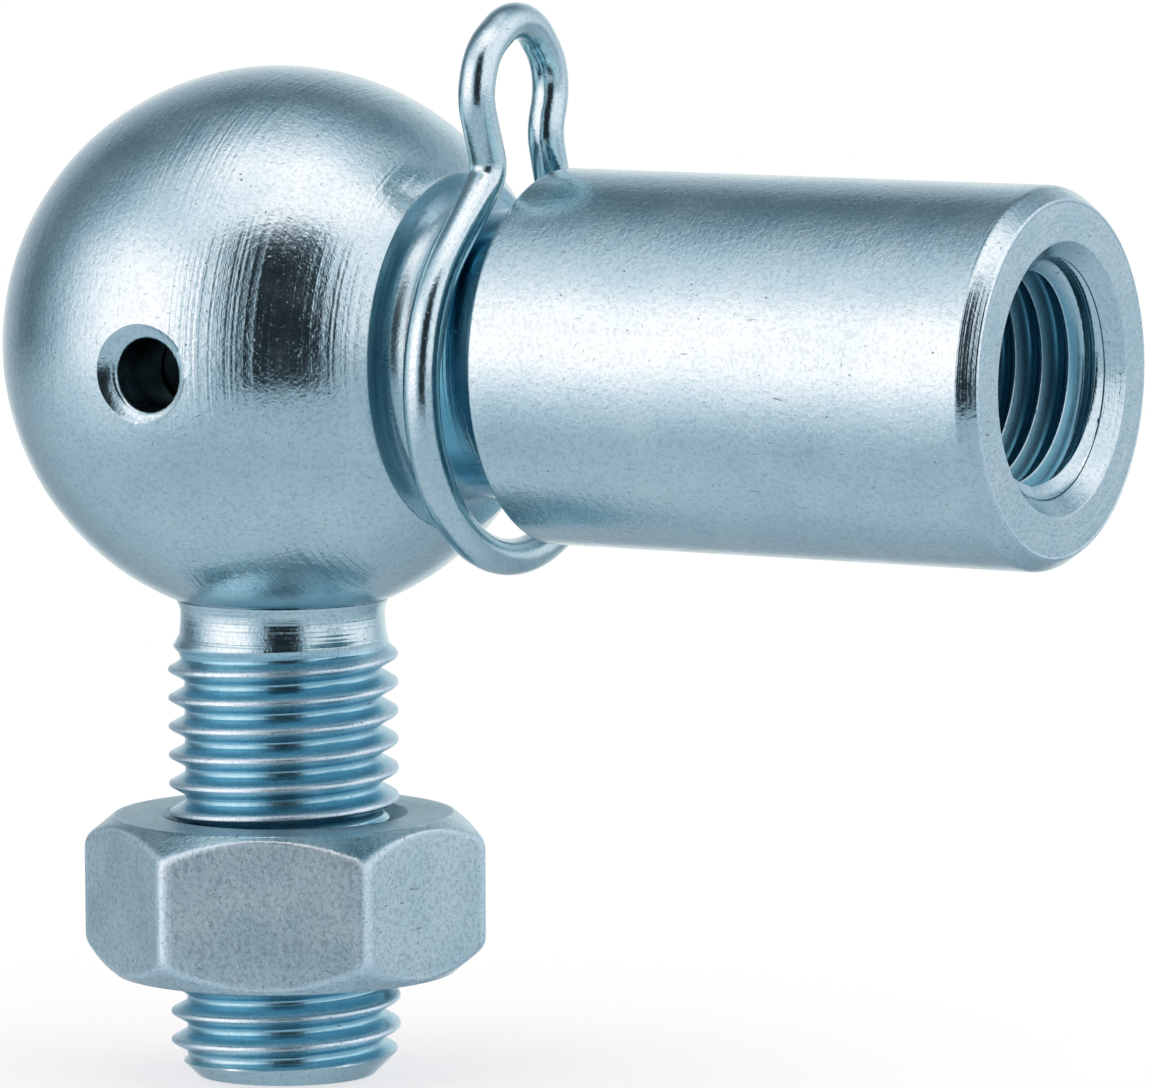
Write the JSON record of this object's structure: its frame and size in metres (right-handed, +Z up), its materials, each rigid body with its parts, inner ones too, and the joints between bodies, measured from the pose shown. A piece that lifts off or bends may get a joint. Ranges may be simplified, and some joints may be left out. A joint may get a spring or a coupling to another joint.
{
  "type": "angle ball joint",
  "caption": "Angle ball joint with a threaded ball stud and hex nut, a ball socket with a threaded shank at right angles, and a wire safety clip.",
  "frame": {"origin": "centre of the ball, where the stud's axis and the shank's axis cross", "axes": "+X along the socket's shank towards its threaded mouth, +Z up, the stud pointing down along -Z"},
  "size_m": [0.0501, 0.0239, 0.0469],
  "materials": {
    "socket_zinc": "clear zinc plate on turned steel",
    "stud_zinc": "clear zinc plate on turned steel",
    "nut_zinc": "clear zinc plate on pressed steel",
    "clip_zinc": "clear zinc plate on spring wire",
    "ring_steel": "bare spring steel wire"
  },
  "bodies": {
    "stud": {"ball_stud": "stud_zinc"},
    "nut": {"hex_nut": "nut_zinc"},
    "ring": {"retaining_ring": "ring_steel"},
    "socket": {"ball_socket": "socket_zinc"},
    "clip": {"safety_clip": "clip_zinc"}
  },
  "joints": [
    {"name": "ball_tilt", "type": "hinge", "parent": "stud", "child": "ring", "pos_m": [0, 0, 0], "axis": [0, 1, 0], "range_deg": [-7, 7]},
    {"name": "ball_swivel", "type": "hinge", "parent": "ring", "child": "socket", "pos_m": [0, 0, 0], "axis": [0, 0, 1], "continuous": true},
    {"name": "nut_turn", "type": "hinge", "parent": "stud", "child": "nut", "pos_m": [0, 0, -0.02395], "axis": [0, 0, 1], "continuous": true},
    {"name": "clip_turn", "type": "hinge", "parent": "socket", "child": "clip", "pos_m": [0.0119, 0, 0], "axis": [1, 0, 0], "continuous": true}
  ]
}
